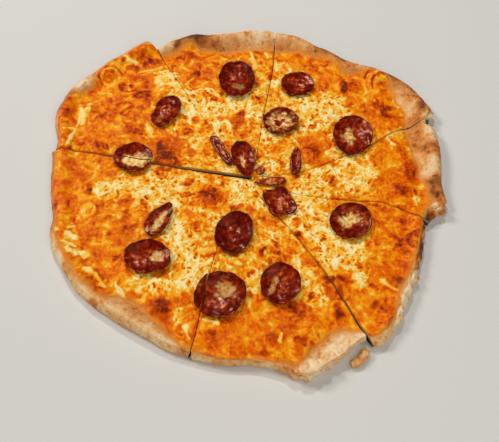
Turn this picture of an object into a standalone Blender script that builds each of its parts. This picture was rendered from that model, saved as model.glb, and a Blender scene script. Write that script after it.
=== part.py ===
"""Round hand-stretched pizza, cut into seven slices that still lie together, with sliced sausage on top.

Each slice is two solids: the dough, with its puffed rim, and the sheet of melted cheese that lies on it.
Each slice of sausage is a solid of its own, and one that the knife went through is two.
Sizes are in millimetres, in plan from the point where the cuts meet: +X right, +Y back, +Z up.
"""

import math

import bmesh
import bpy
from mathutils import Matrix, Vector

MM = 0.001

# Where the cuts meet, from the middle of the pizza's own bounding box, which is the origin.
MEETING_POINT = Vector((3.2, 4.75))

# Dough
BASE_THICKNESS = 4.6
EDGE_HEIGHT = 3.6
EDGE_ROUNDING = 8.0
EDGE_TUCK = 3.0
RIM_WIDTH = 19.0
LOWEST_CROWN = 8.6
CROWN_PER_BARE_WIDTH = 0.22
WIDEST_BARE_RIM = 20.0

# Cheese
LAYER_GAP = 0.3
CHEESE_THICKNESS = 2.8
CHEESE_EDGE_THICKNESS = 0.9
CHEESE_TAPER = 12.0

# Sausage
SAUSAGE_THICKNESS = 2.6
SAUSAGE_LIFT = 0.4
KNIFE_GAP = 0.9

# Mesh
COLUMN_WIDTH = 11.0
CHEESE_ROWS = 8
BARE_ROWS = 4
SAUSAGE_SIDES = 16
SAUSAGE_RINGS = 6
RIM_SAMPLES = 60
CUT_SAMPLES = 200
BEND_END = 0.94

# The knife's path from the middle to the rim, and how far the slices have moved apart at each end.
CUTS = {
    "east": dict(
        path=[(1.5, -1.8), (10, -7), (24, -11), (38, -14.5), (60, -18), (90, -20), (110, -22), (140, -37.5)],
        gap=(0.8, 1.6),
    ),
    "north_east": dict(
        path=[
            (2.2, 0), (18, 1.5), (35, 4.5), (50, 9), (66, 16.5), (97, 32), (115, 44), (130, 52), (151, 58.5),
        ],
        gap=(0.8, 3.2),
    ),
    "north": dict(
        path=[(0.8, 2), (5, 14), (8, 36), (11, 60), (15, 85), (18.5, 108), (20, 128), (21, 153)],
        gap=(0.8, 1.4),
    ),
    "north_west": dict(
        path=[(-2, 2.2), (-10, 10), (-18, 23), (-28, 41), (-44, 64), (-60, 91), (-76, 117), (-85.5, 132.5)],
        gap=(0.8, 1.4),
    ),
    "west": dict(
        path=[(-3.6, 0.4), (-20, 2.8), (-48, 6.8), (-78, 12), (-112, 18), (-135, 21.5), (-160, 22.5)],
        gap=(4.0, 1.2),
    ),
    "south_west": dict(
        path=[
            (-2.8, -2), (-11, -25), (-19, -50), (-24, -68), (-29, -90), (-33, -113), (-36, -132), (-40, -153),
        ],
        gap=(0.8, 1.2),
    ),
    "south_east": dict(
        path=[(-0.6, -2.8), (5, -11), (14, -24), (24, -36), (37, -52), (57, -80), (72, -105), (90, -138)],
        gap=(0.8, 2.6),
    ),
}

# Each slice lies between two cuts, and its rim runs from the first to the second.
# A point of the rim is its place and the width of bare crust that the cheese leaves there.
SLICES = {
    "east": dict(
        cuts=("east", "north_east"),
        rim=[
            (141, -37, 7), (148, -30, 10), (156, -26.5, 13), (156.5, -14, 15), (155.5, 0, 17), (157, 14, 19),
            (157.5, 30, 23), (156.5, 44, 24), (152.5, 55.5, 23),
        ],
    ),
    "north_east": dict(
        cuts=("north_east", "north"),
        rim=[
            (152, 61.5, 23), (154.5, 68.5, 23), (149, 79, 20), (141, 92, 18), (130.5, 103.5, 12),
            (120, 111, 6), (110, 115.5, 7), (99, 118.5, 14), (88, 122, 13), (73, 131.5, 11),
            (60, 138.5, 13), (49, 145, 16), (38, 150, 19), (22.5, 152.5, 20),
        ],
    ),
    "north": dict(
        cuts=("north", "north_west"),
        rim=[
            (19.5, 153.5, 19), (8, 155, 20), (-6, 154, 20), (-20, 151, 21), (-35, 148.5, 19),
            (-48, 147.5, 18), (-60, 146, 13), (-69, 141.5, 14), (-77, 136, 15), (-84, 130, 13),
        ],
    ),
    "north_west": dict(
        cuts=("north_west", "west"),
        rim=[
            (-87, 135, 3), (-92.5, 141, 3), (-100, 138, 2), (-108.5, 131, 2), (-117, 124.5, 2),
            (-125, 119, 2), (-131.5, 112, 3), (-137, 105, 5), (-142, 100, 12), (-149, 93, 14),
            (-155.5, 84, 10), (-160, 74, 4), (-163.5, 62, 4), (-163.5, 51, 4), (-161, 42, 3),
            (-158.5, 33, 3), (-159, 24, 3),
        ],
    ),
    "west": dict(
        cuts=("west", "south_west"),
        rim=[
            (-161, 21, 3), (-159.5, 10, 2), (-158.5, -5, 2), (-157.5, -18, 2), (-155, -30, 2),
            (-152.5, -41, 3), (-153, -51, 5), (-150, -65, 7), (-143, -77, 7), (-135, -89.5, 8),
            (-127, -100, 9), (-117, -109, 11), (-103.5, -118, 18), (-89.5, -126, 20), (-75.5, -134, 17),
            (-60, -142, 13), (-48, -146.5, 9), (-40.5, -149, 8),
        ],
    ),
    "south": dict(
        cuts=("south_west", "south_east"),
        rim=[
            (-38.5, -149.5, 8), (-28, -152, 6), (-12, -154.5, 6), (6, -154.5, 7), (20, -157, 9),
            (29, -160, 12), (35, -164, 15), (44, -164.5, 19), (53, -160.5, 23), (62, -153.5, 24),
            (71.5, -147, 24), (78, -140.5, 20), (87, -134, 12),
        ],
    ),
    "south_east": dict(
        cuts=("south_east", "east"),
        rim=[
            (91.5, -137.5, 6), (99, -136.5, 7), (106, -129, 7), (112, -121, 8), (116, -113.5, 10),
            (119, -106, 10), (124, -97, 10), (127.5, -88, 10), (131.5, -76, 9), (134.5, -65, 7),
            (136.5, -53, 6), (139, -42, 6),
        ],
    ),
}

# Gas blisters that lift the dough and its cheese: place, radius and height.
BLISTERS = [
    (-99, 126, 15, 3.4), (-121, 99, 10, 2.0), (-153, 63, 11, 2.2), (-50, 141, 11, 2.0), (111, 101, 14, 3.0),
    (144, 72, 11, 2.2), (81, 96, 11, 1.4), (50, 23, 13, 2.2), (122, -11, 12, 1.6), (67, -92, 12, 1.6),
    (42, -140, 12, 1.6), (12, -64, 8, 1.2), (-64, -114, 10, 1.8), (-122, -90, 13, 1.8), (-30, -19, 13, 1.4),
    (-62, 27, 12, 1.4), (-96, 45, 11, 1.2),
]

# Slices of sausage: the middle of each, its length and width, the turn of its length from +X, and how far
# its edge curls up. A pinch narrows one end to a point, and knife names the cut that divides it.
SAUSAGES = {
    "sausage_back": dict(middle=(-12, 97.5), size=(39, 31), turn=88, curl=2.4),
    "sausage_back_right": dict(middle=(40, 93.8), size=(29, 25), turn=10, curl=1.6),
    "sausage_upper_right": dict(middle=(25.5, 53.8), size=(30, 27), turn=15, curl=2.2),
    "sausage_right": dict(middle=(85, 41), size=(40, 32), turn=78, curl=2.2),
    "sausage_crescent": dict(middle=(37.8, 15.6), size=(27, 14), turn=86, curl=0.6, pinch=0.7),
    "sausage_upper_left": dict(middle=(-71, 61.5), size=(33, 22), turn=63, curl=2.0),
    "sausage_left": dict(middle=(-94, 14.8), size=(32, 27), turn=4, curl=2.2, knife="west"),
    "sausage_middle": dict(middle=(-4.5, 15.5), size=(35, 23), turn=-78, curl=2.0, pinch=0.4),
    "sausage_middle_strip": dict(middle=(-22.8, 23.8), size=(34, 9), turn=-60, curl=0.6, pinch=0.25),
    "sausage_tip": dict(middle=(24.5, -23.5), size=(28, 22), turn=-52, curl=1.2),
    "sausage_tip_strip": dict(middle=(18.6, -4.4), size=(25, 7), turn=6, curl=0.4),
    "sausage_lower_right": dict(middle=(79.5, -39.5), size=(34, 31), turn=20, curl=2.2),
    "sausage_lower_middle": dict(middle=(-10.5, -51.5), size=(38, 29), turn=72, curl=2.4),
    "sausage_front_left": dict(middle=(-19.5, -103), size=(40, 36), turn=40, curl=2.6, knife="south_west"),
    "sausage_front_right": dict(middle=(25, -93.5), size=(34, 30), turn=70, curl=2.2),
    "sausage_teardrop": dict(middle=(-68.5, -41), size=(32, 21), turn=62, curl=1.8, pinch=0.45),
    "sausage_lower_left": dict(middle=(-75, -73.5), size=(36, 28), turn=-4, curl=2.6),
    "sausage_scrap": dict(middle=(9.3, 5.6), size=(8.5, 7), turn=60, curl=0.4),
}

# A shard of crust torn loose beside the south slice.
SHARD_PATH = [(75.5, -152, 2.4), (80, -150, 2.8), (84.5, -146, 3.2), (87, -140.5, 3.4)]
SHARD_RADIUS = 2.4

COLOURS = {
    "dough": (0.63, 0.37, 0.15, 1.0),
    "cheese": (0.78, 0.25, 0.02, 1.0),
    "sausage": (0.14, 0.02, 0.01, 1.0),
}
ROUGHNESS = {"dough": 0.8, "cheese": 0.45, "sausage": 0.35}


def smoothstep(share):
    share = min(1.0, max(0.0, share))
    return share * share * (3 - 2 * share)


def along(points, share):
    """The place at this share of a path's length, on a smooth curve through its points.

    A third number in the points is blended in the same way.
    """
    points = [Vector(p) for p in points]
    lengths = [(b.xy - a.xy).length for a, b in zip(points, points[1:])]
    left = min(1.0, max(0.0, share)) * sum(lengths)
    for i, length in enumerate(lengths):
        if left <= length or i == len(lengths) - 1:
            break
        left -= length
    t = min(1.0, left / length)
    before = points[max(i - 1, 0)]
    a, b = points[i], points[i + 1]
    after = points[min(i + 2, len(points) - 1)]
    start, end = (b - before) / 2, (after - a) / 2
    return (
        a * (2 * t**3 - 3 * t**2 + 1)
        + start * (t**3 - 2 * t**2 + t)
        + b * (3 * t**2 - 2 * t**3)
        + end * (t**3 - t**2)
    )


def left_of(path, share):
    """The direction that points to the left of a path at this share of its length."""
    ahead = along(path, min(1.0, share + 0.02)) - along(path, max(0.0, share - 0.02))
    return Vector((-ahead.y, ahead.x)).normalized()


def beside_cut(name, share, side):
    """A slice's edge: the knife's path, moved aside by half the gap. Side is 1 to the left of the path."""
    path = CUTS[name]["path"]
    first, last = CUTS[name]["gap"]
    return along(path, share) + left_of(path, share) * side * (first + (last - first) * share) / 2


def plan_point(piece, across, out):
    """A place in one slice: across runs from its first cut to its second, and out from its tip to the rim."""
    rim = along(piece["rim"], across).xy
    rim_ends = along(piece["rim"], 0).xy, along(piece["rim"], 1).xy
    first, second = piece["cuts"]
    edges = beside_cut(first, out, 1), beside_cut(second, out, -1)
    tips = beside_cut(first, 0, 1), beside_cut(second, 0, -1)
    tip = tips[0].lerp(tips[1], across)
    straight = tip.lerp(rim, out)
    bends = [edge - t.lerp(r, out) for edge, t, r in zip(edges, tips, rim_ends)]
    # The knife's path ends near the rim's own end point, so the bend fades out there.
    fade = 1 - smoothstep((out - BEND_END) / (1 - BEND_END))
    return straight + bends[0].lerp(bends[1], across) * fade


def blister_lift(place):
    lift = 0.0
    for x, y, radius, height in BLISTERS:
        share = (place - Vector((x, y))).length / radius
        if share < 1:
            lift += height * (1 - share**2) ** 2
    return lift


def dough_top(place, inset, bare):
    """Height of the dough at a distance inset from its edge: thin base, raised rim, rounded edge."""
    crown = LOWEST_CROWN + CROWN_PER_BARE_WIDTH * min(bare, WIDEST_BARE_RIM)
    lift = blister_lift(place) * smoothstep(inset / EDGE_ROUNDING)
    if inset < EDGE_ROUNDING:
        rise = math.sqrt(1 - (1 - inset / EDGE_ROUNDING) ** 2)
        return EDGE_HEIGHT + (crown - EDGE_HEIGHT) * rise + lift
    slope = smoothstep((inset - EDGE_ROUNDING) / (RIM_WIDTH - EDGE_ROUNDING))
    return crown + (BASE_THICKNESS - crown) * slope + lift


def cheese_thickness(to_edge):
    share = smoothstep(to_edge / CHEESE_TAPER)
    return CHEESE_EDGE_THICKNESS + (CHEESE_THICKNESS - CHEESE_EDGE_THICKNESS) * share


def row_share(row, rows):
    """Rows lie closer together towards the rim, where the height changes most."""
    return 1 - (1 - row / rows) ** 1.4


def slice_sheet(piece, rows):
    """A closed flat body over one slice, and the facts of each upper point and the lower one under it.

    They are (upper point, lower point, across, out, width of bare crust, distance from tip to rim).
    """
    rim = [along(piece["rim"], i / RIM_SAMPLES) for i in range(RIM_SAMPLES + 1)]
    rim_length = sum((b.xy - a.xy).length for a, b in zip(rim, rim[1:]))
    columns = max(6, round(rim_length / COLUMN_WIDTH))
    mesh = bmesh.new()
    number = mesh.verts.layers.int.new("number")
    bmesh.ops.create_grid(mesh, x_segments=columns, y_segments=rows, size=0.5)
    bmesh.ops.triangulate(mesh, faces=mesh.faces[:], quad_method="FIXED")
    uppers = mesh.verts[:]
    for i, vert in enumerate(uppers):
        vert[number] = i
    made = bmesh.ops.extrude_face_region(mesh, geom=mesh.faces[:], use_keep_orig=True)["geom"]
    lowers = {v[number]: v for v in made if isinstance(v, bmesh.types.BMVert)}

    tip = beside_cut(piece["cuts"][0], 0, 1)
    pairs = []
    for upper in uppers:
        across, row = upper.co.x + 0.5, round((upper.co.y + 0.5) * rows)
        edge = along(piece["rim"], across)
        reach = (edge.xy - tip).length
        cheese_end = 1 - edge.z / reach
        if row <= CHEESE_ROWS:
            out = cheese_end * row_share(row, CHEESE_ROWS)
        else:
            out = cheese_end + (1 - cheese_end) * row_share(row - CHEESE_ROWS, BARE_ROWS)
        pairs.append((upper, lowers[upper[number]], across, out, edge.z, reach))
    return mesh, pairs


def add_object(name, mesh, kind, collection):
    bmesh.ops.recalc_face_normals(mesh, faces=mesh.faces[:])
    if mesh.calc_volume(signed=True) < 0:
        bmesh.ops.reverse_faces(mesh, faces=mesh.faces[:])
    data = bpy.data.meshes.new(name)
    mesh.to_mesh(data)
    mesh.free()
    data.materials.append(material(kind))
    data.shade_smooth()
    data.set_sharp_from_angle(angle=math.radians(40))
    obj = bpy.data.objects.new(name, data)
    collection.objects.link(obj)
    return obj


def material(kind):
    found = bpy.data.materials.get(kind)
    if found:
        return found
    made = bpy.data.materials.new(kind)
    made.use_nodes = True
    shader = made.node_tree.nodes["Principled BSDF"]
    shader.inputs["Base Color"].default_value = COLOURS[kind]
    shader.inputs["Roughness"].default_value = ROUGHNESS[kind]
    shader.inputs["Metallic"].default_value = 0.0
    return made


def in_frame(place, height):
    return Vector((place.x + MEETING_POINT.x, place.y + MEETING_POINT.y, height)) * MM


def add_dough(name, piece, collection):
    mesh, pairs = slice_sheet(piece, CHEESE_ROWS + BARE_ROWS)
    for upper, lower, across, out, bare, reach in pairs:
        place = plan_point(piece, across, out)
        upper.co = in_frame(place, dough_top(place, (1 - out) * reach, bare))
        lower.co = in_frame(plan_point(piece, across, out * (1 - EDGE_TUCK / reach)), 0)
    return add_object(f"dough_{name}", mesh, "dough", collection)


def add_cheese(name, piece, collection):
    mesh, pairs = slice_sheet(piece, CHEESE_ROWS)
    for upper, lower, across, out, bare, reach in pairs:
        place = plan_point(piece, across, out)
        inset = (1 - out) * reach
        under = dough_top(place, inset, bare) + LAYER_GAP
        lower.co = in_frame(place, under)
        upper.co = in_frame(place, under + cheese_thickness(inset - bare))
    return add_object(f"cheese_{name}", mesh, "cheese", collection)


def sausage_height(place):
    """The cheese's height away from the rim, which a slice of sausage rests on."""
    return BASE_THICKNESS + LAYER_GAP + CHEESE_THICKNESS + blister_lift(place)


def sausage_mesh(middle, size, turn, curl, pinch=0.0):
    """A rounded disc with its edge curled up, resting on the highest cheese under it."""
    length, width = size
    middle, turned = Vector(middle), Matrix.Rotation(math.radians(turn), 2)
    mesh = bmesh.new()
    bmesh.ops.create_uvsphere(mesh, u_segments=SAUSAGE_SIDES, v_segments=SAUSAGE_RINGS, radius=1)
    flat = {}
    for vert in mesh.verts:
        reach = min(1.0, vert.co.xy.length)
        narrow = 1 - pinch * (1 + vert.co.x) / 2
        place = middle + turned @ Vector((vert.co.x * length / 2, vert.co.y * narrow * width / 2))
        flat[vert] = place, reach
    rest = max(sausage_height(middle + (place - middle) * 1.25) for place, _ in flat.values()) + SAUSAGE_LIFT
    for vert, (place, reach) in flat.items():
        side = 0.5 + 0.5 * math.copysign(math.sqrt(1 - reach**6), vert.co.z) if reach < 1 else 0.5
        vert.co = in_frame(place, rest + SAUSAGE_THICKNESS * side + curl * reach**3)
    return mesh


def keep_one_side(mesh, cut, middle, side):
    """Cuts a slice of sausage along the knife's path. Side is 1 to keep what lies left of the path."""
    path = CUTS[cut]["path"]
    shares = [i / CUT_SAMPLES for i in range(CUT_SAMPLES + 1)]
    share = min(shares, key=lambda s: (along(path, s) - Vector(middle)).length)
    aside = left_of(path, share) * side
    bmesh.ops.bisect_plane(
        mesh,
        geom=mesh.verts[:] + mesh.edges[:] + mesh.faces[:],
        plane_co=in_frame(along(path, share) + aside * KNIFE_GAP / 2, 0),
        plane_no=aside.to_3d(),
        clear_inner=True,
    )
    bmesh.ops.holes_fill(mesh, edges=[e for e in mesh.edges if e.is_boundary])


def add_sausages(collection):
    for name, facts in SAUSAGES.items():
        shape = {k: v for k, v in facts.items() if k != "knife"}
        if "knife" not in facts:
            add_object(name, sausage_mesh(**shape), "sausage", collection)
            continue
        for half, side in (("a", 1), ("b", -1)):
            mesh = sausage_mesh(**shape)
            keep_one_side(mesh, facts["knife"], facts["middle"], side)
            add_object(f"{name}_{half}", mesh, "sausage", collection)


def add_shard(collection):
    """The torn shard of crust: a short bent stick with rounded ends."""
    curve = bpy.data.curves.new("crust_shard", "CURVE")
    curve.dimensions = "3D"
    curve.bevel_depth = SHARD_RADIUS * MM
    curve.bevel_resolution = 2
    curve.use_fill_caps = True
    line = curve.splines.new("POLY")
    line.points.add(len(SHARD_PATH) - 1)
    for point, (x, y, z) in zip(line.points, SHARD_PATH):
        point.co = (*in_frame(Vector((x, y)), z), 1)
    curve.materials.append(material("dough"))
    collection.objects.link(bpy.data.objects.new("crust_shard", curve))


def main():
    for old in list(bpy.data.objects):
        bpy.data.objects.remove(old)
    pizza = bpy.data.collections.new("pizza")
    bpy.context.scene.collection.children.link(pizza)
    for name, piece in SLICES.items():
        add_dough(name, piece, pizza)
        add_cheese(name, piece, pizza)
    add_sausages(pizza)
    add_shard(pizza)


main()
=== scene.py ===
import math

import bpy
import numpy as np
from mathutils import Matrix, Vector


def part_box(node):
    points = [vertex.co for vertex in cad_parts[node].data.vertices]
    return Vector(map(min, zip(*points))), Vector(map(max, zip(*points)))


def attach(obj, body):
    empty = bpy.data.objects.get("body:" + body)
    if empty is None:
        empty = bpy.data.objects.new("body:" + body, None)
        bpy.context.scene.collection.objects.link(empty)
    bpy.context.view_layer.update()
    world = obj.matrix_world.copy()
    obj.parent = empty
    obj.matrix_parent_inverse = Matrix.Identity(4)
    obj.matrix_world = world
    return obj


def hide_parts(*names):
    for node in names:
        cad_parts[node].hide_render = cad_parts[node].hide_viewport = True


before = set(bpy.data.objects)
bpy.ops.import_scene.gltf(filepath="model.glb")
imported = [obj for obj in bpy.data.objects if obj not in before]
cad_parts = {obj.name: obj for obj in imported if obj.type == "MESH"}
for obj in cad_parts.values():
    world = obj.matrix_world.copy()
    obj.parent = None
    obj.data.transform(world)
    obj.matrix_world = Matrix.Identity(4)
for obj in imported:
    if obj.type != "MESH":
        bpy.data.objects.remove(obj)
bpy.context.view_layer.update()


# The dough: flour, water and oil, stretched by hand and baked to a thin base with a puffed rim. A wheel cut
# it from the middle into seven slices that were left where they lay, and each is one piece. Sizes are
# millimetres, in plan from where the cuts meet.

MM = 0.001
MEETING_POINT = np.array([3.2, 4.75])

# The knife's path from the middle to the rim, and how far the slices have moved apart at each end.
CUTS = {
    "east": dict(
        path=[(1.5, -1.8), (10, -7), (24, -11), (38, -14.5), (60, -18), (90, -20), (110, -22), (140, -37.5)],
        gap=(0.2, 1.1),
    ),
    "north_east": dict(
        path=[
            (2.2, 0), (18, 1.5), (35, 4.5), (50, 9), (66, 16.5), (97, 32), (115, 44), (130, 52), (151, 58.5),
        ],
        gap=(0.25, 1.5),
    ),
    "north": dict(
        path=[(0.8, 2), (5, 14), (8, 36), (11, 60), (15, 85), (18.5, 108), (20, 128), (21, 153)],
        gap=(0.3, 0.9),
    ),
    "north_west": dict(
        path=[(-2, 2.2), (-10, 10), (-18, 23), (-28, 41), (-44, 64), (-60, 91), (-76, 117), (-85.5, 132.5)],
        gap=(0.3, 0.9),
    ),
    "west": dict(
        path=[(-3.6, 0.4), (-20, 2.8), (-48, 6.8), (-78, 12), (-112, 18), (-135, 21.5), (-160, 22.5)],
        gap=(4.0, 1.2),
    ),
    "south_west": dict(
        path=[
            (-2.8, -2), (-11, -25), (-19, -50), (-24, -68), (-29, -90), (-33, -113), (-36, -132), (-40, -153),
        ],
        gap=(0.16, 0.8),
    ),
    "south_east": dict(
        path=[(-0.6, -2.8), (5, -11), (14, -24), (24, -36), (37, -52), (57, -80), (72, -105), (90, -138)],
        gap=(0.16, 2.0),
    ),
}

# Each slice lies between two cuts, and its rim runs from the first to the second.
# A point of the rim is its place and the width of bare crust that the cheese leaves there.
SLICES = {
    "east": dict(
        cuts=("east", "north_east"),
        rim=[
            (141, -37, 7), (148, -30, 10), (156, -26.5, 13), (156.5, -14, 15), (155.5, 0, 17), (157, 14, 19),
            (157.5, 30, 23), (156.5, 44, 24), (152.5, 55.5, 23),
        ],
    ),
    "north_east": dict(
        cuts=("north_east", "north"),
        rim=[
            (152, 61.5, 23), (154.5, 68.5, 23), (149, 79, 20), (141, 92, 18), (130.5, 103.5, 12),
            (120, 111, 6), (110, 115.5, 7), (99, 118.5, 14), (88, 122, 13), (73, 131.5, 11),
            (60, 138.5, 13), (49, 145, 16), (38, 150, 19), (22.5, 152.5, 20),
        ],
    ),
    "north": dict(
        cuts=("north", "north_west"),
        rim=[
            (19.5, 153.5, 19), (8, 155, 20), (-6, 154, 20), (-20, 151, 21), (-35, 148.5, 19),
            (-48, 147.5, 18), (-60, 146, 13), (-69, 141.5, 14), (-77, 136, 15), (-84, 130, 13),
        ],
    ),
    "north_west": dict(
        cuts=("north_west", "west"),
        rim=[
            (-87, 135, 3), (-92.5, 141, 3), (-100, 138, 2), (-108.5, 131, 2), (-117, 124.5, 2),
            (-125, 119, 2), (-131.5, 112, 3), (-137, 105, 5), (-142, 100, 12), (-149, 93, 14),
            (-155.5, 84, 10), (-160, 74, 4), (-163.5, 62, 4), (-163.5, 51, 4), (-161, 42, 3),
            (-158.5, 33, 3), (-159, 24, 3),
        ],
    ),
    "west": dict(
        cuts=("west", "south_west"),
        rim=[
            (-161, 21, 3), (-159.5, 10, 2), (-158.5, -5, 2), (-157.5, -18, 2), (-155, -30, 2),
            (-152.5, -41, 3), (-153, -51, 5), (-150, -65, 7), (-143, -77, 7), (-135, -89.5, 8),
            (-127, -100, 9), (-117, -109, 11), (-103.5, -118, 18), (-89.5, -126, 20), (-75.5, -134, 17),
            (-60, -142, 13), (-48, -146.5, 9), (-40.5, -149, 8),
        ],
    ),
    "south": dict(
        cuts=("south_west", "south_east"),
        rim=[
            (-38.5, -149.5, 8), (-28, -152, 6), (-12, -154.5, 6), (6, -154.5, 7), (20, -157, 9),
            (29, -160, 12), (35, -164, 15), (44, -164.5, 19), (53, -160.5, 23), (62, -153.5, 24),
            (71.5, -147, 24), (78, -140.5, 20), (87, -134, 12),
        ],
    ),
    "south_east": dict(
        cuts=("south_east", "east"),
        rim=[
            (91.5, -137.5, 6), (99, -136.5, 7), (106, -129, 7), (112, -121, 8), (116, -113.5, 10),
            (119, -106, 10), (124, -97, 10), (127.5, -88, 10), (131.5, -76, 9), (134.5, -65, 7),
            (136.5, -53, 6), (139, -42, 6),
        ],
    ),
}


def ease(share):
    """0 below 0, 1 above 1, and a smooth step between."""
    share = np.clip(share, 0, 1)
    return share * share * (3 - 2 * share)


def along(points, share):
    """Places at these shares of a path's length, on a smooth curve through its points."""
    points = np.array(points, float)
    lengths = np.hypot(*np.diff(points[:, :2], axis=0).T)
    marks = np.concatenate([[0], np.cumsum(lengths)])
    left = np.clip(share, 0, 1) * marks[-1]
    i = np.clip(np.searchsorted(marks, left, side="right") - 1, 0, len(lengths) - 1)
    t = ((left - marks[i]) / lengths[i])[..., None]
    a, b = points[i], points[i + 1]
    start = (b - points[np.maximum(i - 1, 0)]) / 2
    end = (points[np.minimum(i + 2, len(points) - 1)] - a) / 2
    return (
        a * (2 * t**3 - 3 * t**2 + 1)
        + start * (t**3 - 2 * t**2 + t)
        + b * (3 * t**2 - 2 * t**3)
        + end * (t**3 - t**2)
    )


def beside_cut(name, share, side):
    """A slice's edge: the knife's path, moved aside by half the gap. Side is 1 to the left of the path."""
    path, (first, last) = CUTS[name]["path"], CUTS[name]["gap"]
    ahead = along(path, np.minimum(1, share + 0.02)) - along(path, np.maximum(0, share - 0.02))
    aside = np.stack([-ahead[..., 1], ahead[..., 0]], -1)
    aside /= np.linalg.norm(aside, axis=-1, keepdims=True)
    return along(path, share) + aside * side * (first + (last - first) * share)[..., None] / 2


# From this share of the way out, a slice's edges leave the knife's bend and run to their corner of the rim.
BEND_END = 0.94


def slice_places(piece, across, out):
    """Places in one slice: across runs from its first cut to its second, and out from its tip to the rim."""
    none, whole = np.zeros_like(across), np.ones_like(across)
    rim = along(piece["rim"], across)[..., :2]
    rim_ends = along(piece["rim"], none)[..., :2], along(piece["rim"], whole)[..., :2]
    first, second = piece["cuts"]
    edges = beside_cut(first, out, 1), beside_cut(second, out, -1)
    tips = beside_cut(first, none, 1), beside_cut(second, none, -1)
    across, out = across[..., None], out[..., None]
    tip = tips[0] + (tips[1] - tips[0]) * across
    bends = [edge - t - (r - t) * out for edge, t, r in zip(edges, tips, rim_ends)]
    fade = 1 - ease((out - BEND_END) / (1 - BEND_END))
    return tip + (rim - tip) * out + (bends[0] + (bends[1] - bends[0]) * across) * fade


# Bake marks are drawn on a plan of the pizza and read back wherever a surface needs them.
CELL = 0.5
REACH = 176.0
ticks = np.arange(-REACH, REACH + CELL, CELL)
PLAN_X, PLAN_Y = np.meshgrid(ticks, ticks, indexing="ij")


def hills(size, seed, x=PLAN_X, y=PLAN_Y):
    """Smooth random hills between -1 and 1, about this size across."""
    turns = np.random.default_rng(seed).uniform(0, 2 * math.pi, (256, 256))
    x, y = x / size + 128.3, y / size + 128.7
    left, low = np.floor(x).astype(int), np.floor(y).astype(int)
    x, y = x - left, y - low
    fade_x, fade_y = (t**3 * (t * (t * 6 - 15) + 10) for t in (x, y))

    def corner(right, up):
        turn = turns[(left + right) % 256, (low + up) % 256]
        return np.cos(turn) * (x - right) + np.sin(turn) * (y - up)

    lower = corner(0, 0) * (1 - fade_x) + corner(1, 0) * fade_x
    upper = corner(0, 1) * (1 - fade_x) + corner(1, 1) * fade_x
    return 1.5 * (lower * (1 - fade_y) + upper * fade_y)


def read(plan, places):
    """The drawn plan's values at these places."""
    spot = np.clip((places + REACH) / CELL, 0, len(ticks) - 1.001)
    low = spot.astype(int)
    x, y = (spot - low)[..., 0], (spot - low)[..., 1]
    i, j = low[..., 0], low[..., 1]
    return (
        plan[i, j] * (1 - x) * (1 - y)
        + plan[i + 1, j] * x * (1 - y)
        + plan[i, j + 1] * (1 - x) * y
        + plan[i + 1, j + 1] * x * y
    )


# The plan pushed about a little, so that nothing drawn on it is quite round or straight.
WARP_X = PLAN_X + 3.2 * hills(13, 1) + 1.3 * hills(5, 2)
WARP_Y = PLAN_Y + 3.2 * hills(13, 3) + 1.3 * hills(5, 4)


def patch(x, y, radius):
    """A soft uneven patch on the plan: 1 in its middle, fading to 0 past its radius."""
    return ease(1.45 - np.hypot(WARP_X - x, WARP_Y - y) / radius)


# Gas blisters that lift the dough and its cheese: place, radius and height.
BLISTERS = [
    (-99, 126, 15, 3.4), (-121, 99, 10, 2.0), (-153, 63, 11, 2.2), (-50, 141, 11, 2.0), (111, 101, 14, 3.0),
    (144, 72, 11, 2.2), (81, 96, 11, 1.4), (50, 23, 13, 2.2), (122, -11, 12, 1.6), (67, -92, 12, 1.6),
    (42, -140, 12, 1.6), (12, -64, 8, 1.2), (-64, -114, 10, 1.8), (-122, -90, 13, 1.8), (-30, -19, 13, 1.4),
    (-62, 27, 12, 1.4), (-96, 45, 11, 1.2),
]
blister_lift = np.zeros_like(PLAN_X)
for x, y, radius, height in BLISTERS:
    nearness = 1 - np.minimum(1, np.hypot(PLAN_X - x, PLAN_Y - y) / radius) ** 2
    blister_lift += height * nearness**2


def drawn(marks, strength=1.0):
    """All of a list's patches together."""
    return strength * sum(depth * patch(x, y, radius) for x, y, radius, depth in marks)


BASE_THICKNESS = 4.6
# The rim's side is round down to this height, and tucks in below it.
EDGE_HEIGHT = 3.6
EDGE_ROUNDING = 8.0
EDGE_TUCK = 3.0
UNDERSIDE_LIFT = 0.15
RIM_WIDTH = 19.0
LOWEST_CROWN = 8.6
CROWN_PER_BARE_WIDTH = 0.22
WIDEST_BARE_RIM = 20.0
# The rim's skin reaches this far under the cheese.
UNDER_CHEESE = 6.0
DOUGH_STEP = 0.9
RIM_PROFILE = 60.0
# A cut side goes down in these shares of its height, from pale crumb to the seared underside. Its
# near-black foot is partly the browned underside and partly painted shade, the deep shadow in the gaps.
WALL_LEVELS = (0.82, 0.6, 0.0)
WALL_SEARED_AND_SHADED = (0.15, 0.9, 1.0)

# Marks on the bare rim: place, radius and strength.
RIM_TOASTED = [
    (144, 71, 5, 0.35), (-155, 67, 8, 0.6), (-48, 145, 8, 0.55), (-38, 147, 5, 0.35), (-58, 135, 9, 0.4),
    (-13, 137, 6, 0.15), (-24, 146, 3, 0.25), (140, 44, 5, 0.15), (148, 32, 5, 0.2), (-36, 132, 8, 0.2),
    (-113, -111, 4, 0.4), (122, 108, 12, 0.2), (110, 112, 9, 0.2), (60, -133, 2.5, 0.4),
    (48, -148, 1.6, 0.4), (133, -62, 6, 0.45), (129, -55, 6, 0.4), (141, -6, 8, 0.22), (149, -2, 5, 0.2),
    (147, -15, 6, 0.3), (142, -33, 5, 0.45), (136, -38, 5, 0.45), (103, -124, 4, 0.25), (-65, 128, 7, 0.35),
    (66, 134, 8, 0.15), (80, 124, 6, 0.2), (142, 96, 8, 0.15), (118, -112, 3, 0.3), (130, -84, 3, 0.25),
]
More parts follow.
